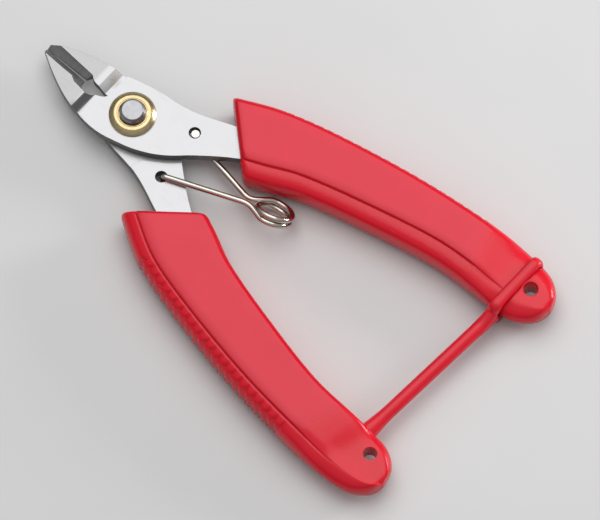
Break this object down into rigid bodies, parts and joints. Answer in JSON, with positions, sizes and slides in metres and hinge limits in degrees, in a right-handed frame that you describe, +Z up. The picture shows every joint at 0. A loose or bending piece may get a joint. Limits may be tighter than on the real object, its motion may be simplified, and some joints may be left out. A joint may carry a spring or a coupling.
{
  "type": "flush cutter",
  "caption": "Small flush cutter: lapped steel levers on a riveted brass-bushed pivot, moulded grips, wire spring and an elastic closing strap.",
  "frame": {"origin": "centre of the bounding box, on the plane that the grips' undersides rest on; the pivot axis stands at X = -0.03725, Y = 0", "axes": "+X from the jaw tips to the tails of the handles, +Y towards the top lever's handle, +Z up along the pivot axis"},
  "size_m": [0.1259, 0.0704, 0.0101],
  "materials": {
    "satin_steel": "pale satin ground steel",
    "rivet_steel": "turned steel, lightly polished",
    "turned_brass": "turned bright brass",
    "spring_wire": "bright drawn wire",
    "grip_plastic": "red moulded plastic, satin",
    "strap_elastomer": "red soft elastomer"
  },
  "bodies": {
    "top_half": {"top_lever": "satin_steel", "top_grip": "grip_plastic", "top_bushing": "turned_brass", "pivot_rivet": "rivet_steel", "return_spring": "spring_wire", "strap_loop": "strap_elastomer"},
    "bottom_half": {"bottom_lever": "satin_steel", "bottom_grip": "grip_plastic", "bottom_bushing": "turned_brass", "closing_strap": "strap_elastomer"}
  },
  "joints": [
    {"name": "jaw_pivot", "type": "hinge", "parent": "top_half", "child": "bottom_half", "pos_m": [-0.03725, 0, 0.0048], "axis": [0, 0, 1], "range_deg": [-15, 0], "deforming": ["return_spring", "closing_strap"]}
  ]
}
